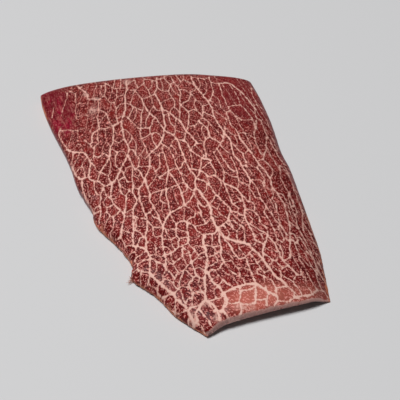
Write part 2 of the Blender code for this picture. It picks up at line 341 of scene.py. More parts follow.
    (MIDDLE, (245, 209), (245, 216), (248, 223), (254, 234), (255.5, 239), (264, 245.5)),
    (FINE, (248, 223), (260, 230), (268, 235)),
    (MIDDLE, (268, 235), (276.5, 247), (283, 260), (297, 274)),
    (MIDDLE, (268, 235), (264, 245.5), (263, 252), (264, 260.5)),
    (FINE, (249, 178.5), (256.5, 187), (262, 200), (276, 220), (287, 234)),
    (FINE, (249, 178.5), (248.5, 185), (240, 181.5)),
    (FINE, (290, 222), (300, 231), (308, 246), (315, 262), (317, 280), (328, 298)),
    (FINE, (286, 285), (292, 290), (300, 299)),
    (HAIR, (280, 222), (284, 229.5), (287.5, 235)),
    (FINE, (279.5, 245), (282.5, 251), (283, 260)),
    (FINE, (292.5, 240), (297.5, 250), (300.5, 260), (305, 267.5), (311, 280), (317.5, 290)),
    (FINE, (300, 237), (305, 245), (311, 255), (316, 265), (317.5, 275)),
    (HAIR, (303, 230), (308, 240), (314, 251), (319, 262)),
    (HAIR, (290, 250), (294, 259), (301, 270), (306, 281)),
    (HAIR, (300, 272), (306, 284), (311, 292)),
    (HAIR, (283, 195), (288, 206), (293, 219), (299, 229)),
    (HAIR, (262, 183), (268, 196), (273, 206), (279, 215)),
    # right of the middle
    (FINE, (272.5, 187), (272, 192), (273, 195.5), (272, 199), (274.5, 203), (276.5, 207)),
    (FINE, (288.5, 194), (291.5, 198), (294, 201.5), (293, 206)),
    (FINE, (288, 196), (289.5, 203), (292, 209), (294.5, 215.5), (296.5, 222), (298, 228)),
    (FINE, (290, 233.5), (293.5, 234.2), (295.5, 237), (297.5, 241)),
    (FINE, (278, 227), (281, 232.5), (284.5, 237.5), (289.5, 241)),
    (FINE, (241, 196), (245, 198), (249, 201.5), (252, 202), (254.5, 206), (254.5, 210.5)),
    (FINE, (245, 209.5), (249, 209.2), (253, 210.6), (256, 213.3), (259, 217), (260, 221),
     (263, 225), (267, 229), (268, 235)),
    (HAIR, (248.5, 186), (249.5, 191), (250.5, 197), (250, 201)),
    (HAIR, (249.5, 187.5), (252.8, 192.5), (254.5, 197)),
    (HAIR, (260.5, 180), (264, 184), (266.5, 187.5), (269.5, 189)),
    (FINE, (264.5, 212), (267, 217.5), (270, 221.5), (272, 225), (274, 229)),
    (FINE, (233.5, 220), (237, 223.5), (240, 225.5), (242.5, 222), (243.5, 218)),
    (FINE, (229.5, 225), (233, 228.5), (236.5, 231), (237, 236), (238.5, 240.5)),
    (HAIR, (236.5, 230.5), (240, 227.5), (242, 226)),
    (FINE, (243, 227), (244.5, 234), (244.5, 241.5)),
    (HAIR, (255.5, 237), (258, 234.5), (262, 233.5)),
    (HAIR, (261, 234.5), (263.5, 240), (264, 244)),
    (FINE, (230.5, 198.5), (233.5, 203), (236, 206), (238.5, 208.5)),
    (HAIR, (233.5, 203), (237.5, 202.3), (241.5, 201)),
    (HAIR, (231, 212), (235.5, 217), (239, 221)),
    (HAIR, (246, 212.5), (249, 216), (252, 219)),
    (HAIR, (276.5, 207), (277.8, 213), (279, 219.5)),
    (HAIR, (245.5, 165.5), (249, 170), (251.5, 173.5)),
    (FINE, (267.5, 163.5), (271.5, 168.5), (272.8, 173.5), (271, 178)),
    # the pale front strip
    (MIDDLE, (223, 294), (225, 303), (222, 310), (214, 311)),
    (MIDDLE, (225, 303), (232, 303.5), (240, 303), (241.5, 310), (238, 318)),
    (MIDDLE, (240, 288), (240.5, 296), (240, 303), (248, 304.5), (256, 303)),
    (THICK, (255.5, 284), (256, 292), (256, 303)),
    (MIDDLE, (256, 299), (262, 299.5), (267, 298)),
    (MIDDLE, (266, 288), (267.5, 294), (266, 305)),
    (MIDDLE, (276, 291), (277.5, 300), (275, 306)),
    (MIDDLE, (244, 290), (250, 289.5), (255, 287)),
    (MIDDLE, (277, 288), (285, 286.5), (292, 290), (294, 297), (290, 302)),
    (THICK, (294, 297), (303, 296), (312, 294)),
    (FINE, (231, 289.5), (237, 290), (240.5, 293)),
    (FINE, (209, 300.5), (214, 300), (219, 298.5), (223.5, 295.5)),
    (MIDDLE, (222.5, 309), (225.5, 314), (230, 318.5)),
)

# The lesser veins split the bundles of lean that the main ones leave too large. Sizes are a
# bundle's, across and along the grain.
BUNDLE_ACROSS = 6.4
BUNDLE_ALONG = 12.8
SHOULDER_SQUEEZE = 0.60  # bundles on the right shoulder are this much narrower
SHOULDER_STRETCH = 1.9
SHOULDER_START = 4.0  # the shoulder fades from here, over this far, in from the right side
SHOULDER_REACH = 26.0
FRONT_NARROW = 0.92  # and towards the front they are slightly narrower and much shorter
FRONT_SHORTEN = 0.62
FRONT_START = -16.0
FRONT_REACH = 26.0
RIM_LARGER = 0.5  # they are this much larger again beside the front edge
GRAIN_TURN = -0.46  # how far the grain swings to the right towards the front, right of the middle
GRAIN_START = -45.0
GRAIN_REACH = 105.0
GRAIN_ROUNDS = 40  # how often the place where a vein crosses the middle is corrected
LOOSE_GAP = 0.9  # a main vein's end this far from the others is loose
LOOSE_REACH = 9.0
LOOSE_AHEAD = 0.5  # the cosine of the widest turn that it makes to reach another vein
LOOSE_WIDTH = 0.7  # and the share of its width that it keeps
VEIN_SPACING = 0.6  # how close the points of a vein lie
SPLIT_SPACING = 1.0  # how close the places lie at which the bundles are measured
SPLIT_ABOVE = 0.46  # a bundle with a place this far from all fat is split, in bundle sizes
SPLIT_IN_THREE = 0.74  # and a bundle with a place this far from it is split three ways
SPLIT_REACH = 1.5  # the longest arm of a new vein
SPLIT_LOOK = 2.5  # places within this many bundle lengths are measured again
ARM_CHOICE = 1.35  # an arm may be this much longer than the shortest one
ARM_TURNS = {2: (1.0, -0.45), 3: (1.0, -0.25, -0.1)}  # the cosines that the arms stay below
SPLIT_BEYOND = 4.0  # the net runs this far past the rim, in millimetres, so that veins reach it
PULL = 0.55  # how far an arm pulls the lesser vein that it joins, in millimetres
PULL_REACH = 1.8
LESSER_WIDTHS = (0.16, 0.40)
SHADE_SPACING = 0.5 * BUNDLE_ACROSS  # how close the bundles' middles may lie
FAINT_CORNER = ((66, 112), (30, 44), 22)  # the lesser veins fade around the wine red corner
FAINT_SHOULDER = ((243, 96), (24, 32), 30)  # and, less so, at the back right, where the lean is smooth
FAINTER = 0.7
SHOULDER_FAINTER = 0.6  # as a share of the corner's
FLANK_BOLD = 0.2  # how bold the lesser veins are at the flank, as a share of those at the front
BOLD_DEEP = 26.0  # and they are bolder this far in from the front edge and half as far from the flank
BOLDER = 0.7
HUB_GAIN = 0.26  # veins widen by this much where they meet
HUB_REACH = 1.1
WIDTH_SWELL = 0.3  # and along their way by this share, in crossing waves
WIDTH_WAVES = ((0.9, 0.5), (-0.4, 1.1))
WANDER = ((0.30, 9.0), (0.15, 3.1))  # (how far, over what length) the veins wander
NICKS = ((0.16, 7.0), (0.16, 3.3))  # and the ragged left side
WAVE_TURNS = (0.4, 1.7, 2.9)  # the directions in which these waves run, in radians
NEAREST = 7  # how many points of the net are tried to find the nearest vein
CHUNK = 300  # how many places are compared at a time
VEIN_RISE = 0.14  # the fat stands this far above the lean
VEIN_FOOT = (-0.35, 0.8)  # where that rise begins to fade beside a vein, and over how far
VEIN_CLEAR = 0.5  # points lower than this rest on the table and aren't lifted
VEIN_RANGE = (-2, 6)  # the least and most that the mesh tells of the distance from the fat

# The frayed fibres in the flank's notch.
TUFT_PLACE = (-23.4, -63.0, 1.2)  # inside the rim
TUFT_STRANDS = 9
TUFT_TURNS = (165, 235)  # the strands point away from the steak, degrees from +X
TUFT_LENGTHS = (2.6, 4.6)
TUFT_SPREAD = (0.7, 1.2, 0.6)
TUFT_RADIUS = 0.2
TUFT_TAPER = 0.75  # how much of the radius is lost at the tip
TUFT_RINGS = (0, 0.35, 0.7)  # where a strand has its rings, as shares of its length
TUFT_RISE = (-0.1, 0.25)  # how far a strand rises for each millimetre of its run
TUFT_BEND = 0.35  # and bends to its side
TUFT_LEVEL = 0.3  # the strands have no level of their own
UP = np.array([0.0, 0.0, 1.0])

# Where the surface differs. A place is (middle in pixels, reach in millimetres across and
# along, turn in degrees); a fade is (distance at which it begins, distance over which it runs).
BLOB_END = 1.4  # a blob ends at this many times its reach
WINE_CORNER = ((56, 108), (14, 33), 22)
WINE_BARE = 0.6  # lean more wine red than this has no lesser veins
# the pale front strip: fattier lean, lightened by painted sheen of its wet surface
PALE_SHEEN_PATCHES = (
    (1.0, (257, 297), (21, 9), 12), (0.65, (296, 296), (26, 8), 12), (0.5, (234, 297), (9, 6)),
)
FAT_POOLS = (
    ((93, 110), (3, 4)), ((127, 82), (3, 3)), ((96, 99), (3, 1.5)), ((207, 303), (3, 2.5)),
    ((245, 307), (6, 2)), ((217, 317), (2.5, 2.5)), ((86, 95), (2, 2)), ((193, 320), (2, 4)),
)
# Patches of painted shade: (how much darker, middle in pixels, reach in millimetres)
PAINTED_SHADE_PATCHES = (
    (0.08, (305, 262), (34, 60)), (0.08, (175, 300), (30, 24)), (0.06, (110, 150), (36, 50)),
)
SHOULDER_PAINTED_SHADE = 0.24  # painted shade: the right shoulder is painted this much darker
SHOULDER_PAINTED_SHADE_END = 95.0  # less and less up to here, towards the back
BACK_PAINTED_SHADE = 0.10  # and painted shade darkens the back, more and more from here on
BACK_PAINTED_SHADE_START = 20.0
PAINTED_SHADE_REACH = 60.0
FOOT_PAINTED_SHADE = 0.55  # painted shade: the underside is painted this much darker, so the hollow under the front edge stays dark
FOOT_FADE = (0.0, 0.3)  # in levels, from 0 at the foot to 1 at the top
DRY_CORNER = ((43, 105), (16, 20))
DRY_CORNER_SHARE = 0.8  # how dry the rim is there, from 0 to 1
DRY_CORNER_FADE = (0.1, 0.9)
DRY_FLANK_SHARE = 0.66
DRY_FLANK_FADE = (0.4, 1.0)
DRY_FLANK_TOP = (0.7, 0.3)  # the levels over which the flank's top side is less dry
DRY_FLANK_LOSS = 0.7
DRY_RIGHT_SHARE = 0.55
DRY_RIGHT_FADE = (0.6, 1.2)
FRONT_PART_START = 10.0  # the front part of the right side begins here and is full further on
FRONT_PART_REACH = 25.0
WALL_FADE = (0.8, 0.2)  # in levels
MAUVE_LEFT_FADE = (0.2, 0.8)
# painted sheen: the back part of the right rim is painted greyish mauve
SHEEN_RIGHT_FADE = (1.0, 4.0)
SHEEN_RIGHT_SHARE = 0.7
GREY_FADE = (-0.2, 1.8)  # from the front edge, so that the front wall is greyest

# The material's noises: (size of the patches in millimetres, detail, roughness).
DRIFT = (2.2, 2.0)
DRIFT_FAR = 1.2  # how far the drift moves a place
MOTTLE = (1.2, 3.0, 0.6)
PATCHES = (7.0, 2.0)
WINE_EDGE = (5.0, 2.0)
WINE_STREAKS = (1.5, 2.0)
WINE_BLOTCHES = (4.5, 1.0)
CURLS = (1.35, 0.0)
CURL_BREAKS = (1.1, 1.0)
SPECKS = (0.8, 0.0)
FRAY = (0.9, 3.0, 0.7)
RAGGED = (2.6, 3.0)

# How far such a noise shifts an edge, from one side to the other.
WINE_SHIFT = 1.4
FRAY_SHIFT = 2.6
RAGGED_SHIFT = 1.8

# The material's steps: (start, end) of a value, then the two shares that it gives there, which
# are 0 and 1 where none are said.
MOTTLE_STEP = (0.38, 0.64)
PATCH_STEP = (0.42, 0.7, 0.0, 0.5)
BUNDLE_STEP = (0.5, 1.0, 0.0, 0.5)
BESIDE_STEP = (0.9, 0.1, 0.0, 0.55)
WINE_STEP = (0.1, 1.1)
WINE_RIM_STEP = (0.0, 0.4)
BLOTCH_STEP = (0.5, 0.62)
FAT_STREAK_STEP = (0.55, 0.68, 0.0, 0.5)
DARK_STREAK_STEP = (0.47, 0.34, 0.0, 0.8)
CURL_STEP = (0.065, 0.025)
BREAK_STEP = (0.49, 0.56)
SPECK_STEP = (0.66, 0.72)
WINE_FLECK_STEP = (0.0, 0.9, 0.9, 0.26)
SMOOTH_FLECK_STEP = (0.0, 1.0, 1.0, 0.45)
FAT_STEP = (0.12, -0.12)
THICK_STEP = (0.0, -0.5)
POOL_STEP = (0.35, 0.6, 0.0, 0.7)
RIM_STEP = (0.25, 0.75)
ROUGHNESS_STEP = (0.3, 0.7, 0.36, 0.5)

# The material's other shares and stretches.
WINE_SHARE = 0.85
PALE_SHEEN_SHARE = 0.6
SMOOTH_SHARE = 0.4
STREAK_STRETCH = 0.3  # and the streaks along the left edge
FLECK_STRETCH = (1.0, 1.7, 1.0)
WALL_STRETCH = 0.25  # the patterns are drawn out this much down the walls
RELIEF_FAT = 0.6
RELIEF_MOTTLE = 0.5
RELIEF_FLECKS = 0.3
BUMP_STRENGTH = 0.4
BUMP_HEIGHT = 0.0003  # metres
SPECULAR = 0.12

# The table and the light, in metres.
FLOOR_HALF = 3.0
FLOOR_DROP = -0.0001
FLOOR_ROUGHNESS = 0.7
WHITE = (1.0, 1.0, 1.0, 1.0)
SKY_STRENGTH = 0.06
LAMP_PLACE = (-0.8, 0.15, 3.8)
LAMP_SIZE = 0.9
LAMP_POWER = 128.0
LIGHT_LEVEL = 0.82


def colour(red, green, blue):
    """A surface colour that shows about as these values from 0 to 255 in the scene's light."""
    shown = np.array([red, green, blue]) / 255
    linear = np.where(shown <= 0.04045, shown / 12.92, ((shown + 0.055) / 1.055) ** 2.4)
    return (*(linear / LIGHT_LEVEL).clip(0, 1), 1.0)


LEAN_DARK = colour(78, 10, 12)
LEAN_MID = colour(122, 26, 25)
LEAN_LIGHT = colour(150, 43, 38)
LEAN_WINE = colour(112, 14, 32)
CRIMSON = colour(138, 6, 42)
FLECK = colour(224, 146, 136)
FAT_THIN = colour(192, 122, 110)
FAT = colour(226, 182, 168)
# fattier lean at the front, lightened by painted sheen
PALE_LEAN_AND_SHEEN = colour(208, 118, 100)
SMOOTH_LEAN = colour(128, 40, 46)
DRY_RIM = colour(186, 108, 76)
# the left wall's own mauve, also painted on the right rim as sheen
MAUVE_AND_SHEEN = colour(128, 78, 78)
GREY_WALL = colour(186, 146, 138)
FLOOR_COLOUR = colour(198, 198, 199)
RIMS = (("grey", GREY_WALL, 0.75), ("mauve_and_sheen", MAUVE_AND_SHEEN, 0.8), ("dry", DRY_RIM, 0.85))


def smooth_line(places):
    """A Catmull-Rom line through the places, as many close points."""
    points = np.array(places, float)
    ends = 2 * points[[0, -1]] - points[[1, -2]]
    points = np.vstack([ends[:1], points, ends[1:]])
    share = np.linspace(0, 1, STEPS_PER_SPAN, endpoint=False)[:, None]
    spans = []
    for before, start, end, after in zip(points, points[1:], points[2:], points[3:]):
        spans.append(
            start
            + 0.5 * share * (end - before)
            + share**2 * (before - 2.5 * start + 2 * end - 0.5 * after)
            + share**3 * (1.5 * (start - end) + 0.5 * (after - before))
        )
    return np.vstack([*spans, points[-2:-1]])


def edge_lines():
    """The five edges as smooth lines, moved so that their box is centred on the origin."""
    lines = {
        "back": smooth_line(BACK_EDGE),
        "front": smooth_line(FRONT_EDGE),
        "flank": smooth_line(FLANK_EDGE),
        "left": smooth_line(LEFT_EDGE),
        "right": smooth_line(RIGHT_EDGE),
    }
    every_point = np.vstack(list(lines.values()))
    middle = (every_point.min(axis=0) + every_point.max(axis=0)) / 2
    return {name: line - middle for name, line in lines.items()}


EDGES = edge_lines()


def along_line(line, share):
    """The points at these shares of a line's length."""
    steps = np.linalg.norm(np.diff(line, axis=0), axis=1)
    run = np.concatenate([[0], np.cumsum(steps)]) / steps.sum()
    return np.stack([np.interp(share, run, line[:, 0]), np.interp(share, run, line[:, 1])], axis=-1)


def evenly(line, spacing):
    """A line's points about this far apart."""
    length = np.linalg.norm(np.diff(line, axis=0), axis=1).sum()
    return along_line(line, np.linspace(0, 1, max(2, round(length / spacing) + 1)))


def distance_to(line, points):
    """How far each plan point is from a line."""
    nearest = np.full(len(points), np.inf)
    for start, end in zip(line, line[1:]):
        span = end - start
        share = np.clip((points - start) @ span / (span @ span), 0, 1)
        gap = np.linalg.norm(points - start - share[:, None] * span, axis=1)
        nearest = np.minimum(nearest, gap)
    return nearest


def ease(share):
    """A smooth step from 0 to 1."""
    share = np.clip(share, 0, 1)
    return share * share * (3 - 2 * share)


def fade(value, start, reach):
    """1 while a value is below its start, falling smoothly to 0 over the reach."""
    return 1 - ease((value - start) / reach)


def rounding(distances, face):
    """The share of the thickness lost where the edges round over: face 0 is the top, 1 the foot."""
    total = 0
    for name, falls in EDGE_FALLS.items():
        width, share = falls[face]
        near = np.clip(1 - distances[name] / width, 0, 1)
        total = total + (share * (1 - np.sqrt(1 - near**2))) ** FALL_BLEND
    return total ** (1 / FALL_BLEND)


def front_share(points):
    """How far to the right along the front edge points are, 0 at its left end and 1 at its right."""
    left, right = EDGES["front"][0, 0], EDGES["front"][-1, 0]
    return (points[:, 0] - left) / (right - left)


def arch_height(points, distances):
    """The height of the hollow under the front edge."""
    share = front_share(points)
    height = FRONT_LIFT_LEFT + (FRONT_LIFT_RIGHT - FRONT_LIFT_LEFT) * ease(share / ARCH_MIDDLE)
    height = height * ease(share / ARCH_LEFT_RISE) * ease((1 - share) / ARCH_RIGHT_FALL)
    return height * fade(distances["front"], 0, FRONT_LIFT_REACH)


def front_taper(points, distances):
    """How much thinner the slab is near its front edge."""
    share = ease(front_share(points))
    taper = FRONT_TAPER_LEFT + (FRONT_TAPER_RIGHT - FRONT_TAPER_LEFT) * share
    return taper * fade(distances["front"], 0, FRONT_TAPER_REACH)


def swells(points):
    """The height that the crossing swells add to the top."""
    return sum(
        height * np.sin(points @ (to_right, to_back) + phase)
        for height, to_right, to_back, phase in SWELLS
    )


def rim_distances(points):
    """How far the plan points are from each edge."""
    return {name: distance_to(line, points) for name, line in EDGES.items()}


def heights(points, distances):
    """(foot, top) of the slab over these plan points."""
    arch = arch_height(points, distances)
    dome = (points[:, 0] ** 2 + points[:, 1] ** 2) / DOME_RADIUS**2
    rim = np.min(list(distances.values()), axis=0)
    thickness = MIDDLE_THICKNESS - DOME_DROP * dome - front_taper(points, distances)
    top = arch + thickness * (1 - rounding(distances, 0))
    foot = arch + thickness * rounding(distances, 1)
    return foot, top + swells(points) * ease(rim / SWELL_FADE)


def pixels_to_plan(pixels):
    """The plan points where the top is seen at these pixels of the picture."""
    pixels = np.array(pixels, float)
    tilt = math.radians(ELEVATION)
    focal = LENS / SENSOR * PICTURE
    right = (pixels[:, 0] - PICTURE / 2) / focal
    up = (PICTURE / 2 - pixels[:, 1]) / focal
    forward = math.cos(tilt) + up * math.sin(tilt)
    down = math.sin(tilt) - up * math.cos(tilt)
    camera = np.array(AIM) + DISTANCE * np.array([0, -math.cos(tilt), math.sin(tilt)])
    height = np.full(len(pixels), MIDDLE_THICKNESS)
    for _ in range(SIGHT_ROUNDS):
        reach = (camera[2] - height) / down
        points = np.stack([camera[0] + reach * right, camera[1] + reach * forward], axis=-1)
        height = heights(points, rim_distances(points))[1]
    return points


def grain_slope(s):
    """How far a vein swings sideways for each millimetre to the back."""
    return GRAIN_TURN * ease((s - GRAIN_START) / GRAIN_REACH)


def plan_to_grain(points):
    """Grain points: where the vein through a plan point crosses the middle, and how far along."""
    s = points[:, 0].copy()
    for _ in range(GRAIN_ROUNDS):
        s = 0.5 * s + 0.5 * (points[:, 0] - grain_slope(s) * points[:, 1])
    return np.stack([s, points[:, 1] * BUNDLE_ACROSS / BUNDLE_ALONG], axis=-1)


def shoulder(points):
    """1 on the right shoulder, fading to 0 away from it."""
    return fade(distance_to(EDGES["right"], points), SHOULDER_START, SHOULDER_REACH)


def blob(plan, middle, reach, tilt=0.0):
    """1 around a place of the picture, fading to 0 somewhat past its reach across and along."""
    away = plan - pixels_to_plan([middle])[0]
    turn = math.radians(tilt)
    across = away @ (math.cos(turn), math.sin(turn)) / reach[0]
    along = away @ (-math.sin(turn), math.cos(turn)) / reach[1]
    return ease(BLOB_END - np.hypot(across, along))


def pale_front_and_sheen(plan):
    """1 in the pale strip along the front edge: fattier lean with painted sheen."""
    return np.max([strength * blob(plan, *place) for strength, *place in PALE_SHEEN_PATCHES], axis=0)


def bold_front(plan):
    """1 at the front edge and less at the flank, fading to 0 away from them."""
    front = fade(distance_to(EDGES["front"], plan), 0, BOLD_DEEP)
    flank = fade(distance_to(EDGES["flank"], plan), 0, BOLD_DEEP / 2)
    return np.maximum(front, FLANK_BOLD * flank)


def bundle_size(points):
    """(across, along) sizes of the lean bundles at these plan points."""
    near = shoulder(points)
    front = ease((FRONT_START - points[:, 1]) / FRONT_REACH)
    across = BUNDLE_ACROSS * (1 - (1 - SHOULDER_SQUEEZE) * near) * (1 - (1 - FRONT_NARROW) * front)
    along = BUNDLE_ALONG * (1 + (SHOULDER_STRETCH - 1) * near) * (1 - (1 - FRONT_SHORTEN) * front)
    larger = 1 + RIM_LARGER * bold_front(points)
    return across * larger, along * larger


def main_veins():
    """The main veins as plan lines with their half widths."""
    plan = pixels_to_plan([place for _, *places in MAIN_VEINS for place in places])
    ends = np.cumsum([len(vein) - 1 for vein in MAIN_VEINS])
    lines = np.split(plan, ends[:-1])
    return [
        (vein[0], wander(evenly(smooth_line(line), VEIN_SPACING), WANDER))
        for vein, line in zip(MAIN_VEINS, lines)
    ]


def bundle_steps(points, others, size):
    """The steps from each point to each other one, in bundle sizes across and along the grain."""
    step = others[None] - points[:, None]
    slope = grain_slope(points[:, 0])[:, None]
    along = step[..., 1]
    across = step[..., 0] - slope * along
    return across / size[0][:, None], along / size[1][:, None]


def closeness(points, others, size):
    """How far each point is from the nearest other one, in bundle sizes."""
    nearest = np.full(len(points), np.inf)
    for first in range(0, len(others), CHUNK):
        gaps = np.hypot(*bundle_steps(points, others[first : first + CHUNK], size))
        nearest = np.minimum(nearest, gaps.min(axis=1))
    return nearest


def wander(points, waves):
    """Shifts plan points by a smooth drift, alike for points at the same place."""
    drift = np.zeros_like(points)
    for far, length in waves:
        for turn in WAVE_TURNS:
            wave = points @ (math.cos(turn), math.sin(turn)) * 2 * math.pi / length
            drift[:, 0] += far / 2 * np.sin(wave + 3 * turn)
            drift[:, 1] += far / 2 * np.cos(1.3 * wave + turn)
    return points + drift


def held(line, waves):
    """A line that wanders between its ends, which stay where they are."""
    loose = np.sin(np.linspace(0, math.pi, len(line)))[:, None]
    return line + loose * (wander(line, waves) - line)


def loose_ends(veins):
    """Short veins that carry the loose ends of the main veins on to the next one."""
    joined = []
    for index, (width, line) in enumerate(veins):
        others = np.vstack([other for place, (_, other) in enumerate(veins) if place != index])
        for end, before in ((line[0], line[1]), (line[-1], line[-2])):
            step = others - end
            gap = np.linalg.norm(step, axis=1)
            forward = step @ (end - before) / np.linalg.norm(end - before)
            ahead = np.where(forward > LOOSE_AHEAD * gap, gap, np.inf)
            if gap.min() > LOOSE_GAP and ahead.min() < LOOSE_REACH:
                bridge = evenly(np.array([end, others[ahead.argmin()]]), VEIN_SPACING)
                joined.append((LOOSE_WIDTH * width, held(bridge, WANDER)))
    return joined


def arm_ends(middle, walls, size, count):
    """Which wall points the arms of a new vein run to from a bundle's middle, nearest first."""
    steps = np.stack(bundle_steps(middle[None], walls, size[:, None]), axis=-1)[0]
    gaps = np.hypot(*steps.T).clip(1e-6)
    steps = steps / gaps[:, None]
    gaps = gaps * CHANCE.uniform(1, ARM_CHOICE, len(gaps))
    ends = []
    for limit in ARM_TURNS[count]:
        facing = [steps @ steps[end] for end in ends]
        allowed = np.all([turn < limit for turn in facing], axis=0) if ends else gaps > 0
        gap = np.where(allowed, gaps, np.inf)
        if gap.min() > SPLIT_REACH:
            break
        ends.append(gap.argmin())
    return ends


def split(middle, ends, walls, free):
    """The arms of a new vein as plan lines. The lesser veins that they join give way to them."""
    for end in ends:
        toward = (middle - walls[end]) / np.linalg.norm(middle - walls[end]).clip(0.1)
        share = np.exp(-(((walls - walls[end]) ** 2).sum(1)) / PULL_REACH**2)
        walls += (PULL * free * share)[:, None] * toward
    lines = [smooth_line([walls[ends[0]], middle, walls[ends[1]]])]
    lines += [smooth_line([middle, (middle + walls[end]) / 2, walls[end]]) for end in ends[2:]]
    return [held(evenly(line, VEIN_SPACING), WANDER) for line in lines]


def lesser_veins(veins, loop):
    """Veins that split every bundle that is too large, and the middles of the bundles left."""
    beyond = loop - SPLIT_BEYOND * inward(loop)
    places = fill_points(beyond, SPLIT_SPACING)
    places = places[inside(places, beyond)]
    size = np.stack(bundle_size(places))
    walls = np.vstack([line for _, line in veins] + [beyond])
    free = np.zeros(len(walls))
    room = closeness(places, walls, size)
    room[blob(places, *WINE_CORNER) > WINE_BARE] = 0
    spans = []
    while room.max() > SPLIT_ABOVE:
        index = room.argmax()
        middle = places[index]
        count = 3 if room[index] > SPLIT_IN_THREE else 2
        ends = arm_ends(middle, walls, size[:, index], count)
        near = np.abs(places - middle).max(axis=1) < SPLIT_LOOK * BUNDLE_ALONG
        if len(ends) < 2:
            room[index] = 0
            continue
        for line in split(middle, ends, walls, free):
            spans.append((len(walls), len(walls) + len(line)))
            walls = np.vstack([walls, line])
            free = np.concatenate([free, np.ones(len(line))])
            room[near] = np.minimum(room[near], closeness(places[near], line, size[:, near]))
    middle_points = np.array([walls[(start + end) // 2] for start, end in spans])
    faint = np.maximum(
        blob(middle_points, *FAINT_CORNER),
        SHOULDER_FAINTER * blob(middle_points, *FAINT_SHOULDER),
    )
    gain = 1 - FAINTER * faint + BOLDER * bold_front(middle_points)
    widths = CHANCE.uniform(*LESSER_WIDTHS, len(spans)) * gain
    middles = thinned([places[room.argsort()[::-1]]], SHADE_SPACING)
    return [(width, walls[start:end]) for width, (start, end) in zip(widths, spans)], middles


def tree_of(points):
    """A search tree of plan points."""
    tree = kdtree.KDTree(len(points))
    for index, (x, y) in enumerate(points):
        tree.insert((x, y, 0), index)
    tree.balance()
    return tree


class VeinNet:
    """Every vein as close points with half widths, to measure how far a place is from fat."""

    def __init__(self, veins, spacing):
        lines = [evenly(line, spacing) for _, line in veins]
        self.points = np.vstack(lines)
        widths = []
        for (width, _), line in zip(veins, lines):
            run = np.concatenate([[0], np.cumsum(np.linalg.norm(np.diff(line, axis=0), axis=1))])
            to_end = np.minimum(run, run[-1] - run)
            first, second = (np.sin(line @ wave) for wave in WIDTH_WAVES)
            swell = 1 + WIDTH_SWELL * first * second
            widths.append(width * swell + HUB_GAIN * np.exp(-to_end / HUB_REACH))
        self.widths = np.concatenate(widths)
        self.after = np.arange(len(self.points)) + 1
        self.after[np.cumsum([len(line) for line in lines]) - 1] -= 1
        self.before = np.arange(len(self.points)) - 1
        self.before[np.cumsum([0] + [len(line) for line in lines[:-1]])] += 1
        self.tree = tree_of(self.points)

    def depth(self, places):
        """How far each plan place is outside the nearest vein, negative inside the fat."""
        near = np.empty((len(places), NEAREST), int)
        for row, (x, y) in zip(near, places):
            row[:] = [index for _, index, _ in self.tree.find_n((x, y, 0), NEAREST)]
        deepest = np.full(len(places), np.inf)
        for column in near.T:
            here = self.points[column]
            for other in (self.after[column], self.before[column]):
                span = self.points[other] - here
                length = (span**2).sum(1).clip(1e-9)
                share = np.clip(((places - here) * span).sum(1) / length, 0, 1)
                gap = np.linalg.norm(places - here - share[:, None] * span, axis=1)
                width = self.widths[column] * (1 - share) + self.widths[other] * share
                deepest = np.minimum(deepest, gap - width)
        return deepest


def outline_loop():
    """The rim in plan, running anticlockwise from the front left corner."""
    left = np.vstack([EDGES["flank"], EDGES["left"][1:]])
    sides = (EDGES["front"], EDGES["right"], EDGES["back"][::-1], left[::-1])
    sides = [evenly(side, RIM_SPACING) for side in sides]
    sides[-1] = held(sides[-1], NICKS)
    return np.vstack([side[:-1] for side in sides])


def inside(points, loop):
    """Which plan points lie inside a closed line."""
    x, y = points.T
    crossings = np.zeros(len(points), int)
    for (x0, y0), (x1, y1) in zip(loop, np.roll(loop, -1, axis=0)):
        spans = (y0 > y) != (y1 > y)
        if y0 != y1:
            crossings += spans & (x < x0 + (y - y0) * (x1 - x0) / (y1 - y0))
    return crossings % 2 == 1


def inward(loop):
    """Unit directions into a loop that runs anticlockwise."""
    run = np.roll(loop, -1, axis=0) - np.roll(loop, 1, axis=0)
    turned = np.stack([-run[:, 1], run[:, 0]], axis=-1)
    return turned / np.linalg.norm(turned, axis=1, keepdims=True)


def thinned(groups, spacing):
    """Points of all groups, without those that crowd an earlier one."""
    kept, grid = [], {}
    for group in groups:
        for point in group:
            cell = (math.floor(point[0] / spacing), math.floor(point[1] / spacing))
            near = [
                other
                for i in (-1, 0, 1)
                for j in (-1, 0, 1)
                for other in grid.get((cell[0] + i, cell[1] + j), ())
            ]
            if all((point[0] - x) ** 2 + (point[1] - y) ** 2 >= spacing**2 for x, y in near):
                kept.append(point)
                grid.setdefault(cell, []).append((point[0], point[1]))
    return np.array(kept)


def fill_points(loop, spacing):
    """A honeycomb of points over the loop's box, slightly shaken."""
    low, high = loop.min(axis=0), loop.max(axis=0)
    rows = np.arange(low[1], high[1], spacing * math.sqrt(3) / 2)
    columns = np.arange(low[0], high[0], spacing)
    x, y = np.meshgrid(columns, rows)
    x[1::2] += spacing / 2
    points = np.stack([x.ravel(), y.ravel()], axis=-1)
    return points + CHANCE.uniform(-SHAKE, SHAKE, points.shape) * spacing


def face_mesh(loop, net, spacing):
    """(plan points, triangles) inside the loop, whose own points come first."""
    into = inward(loop)
    rows = [loop + into * gap for gap in RIM_ROWS]
    inner = np.vstack([*rows, net.points, fill_points(loop, spacing)])
    inner = inner[inside(inner, loop)]
    rim = tree_of(loop)
    clear = [rim.find((x, y, 0))[2] > RIM_ROWS[0] * RIM_CLEAR for x, y in inner]
    kept = thinned([inner[clear]], CROWDED * spacing)
    points = np.vstack([loop, kept])
    places, outline = [Vector(point) for point in points], list(range(len(loop)))
    result = delaunay_2d_cdt(places, [], [outline], INSIDE_ONLY, SAME_PLACE)
    source = np.array([found[0] for found in result[3]])
    return points, source[np.array(result[2])]


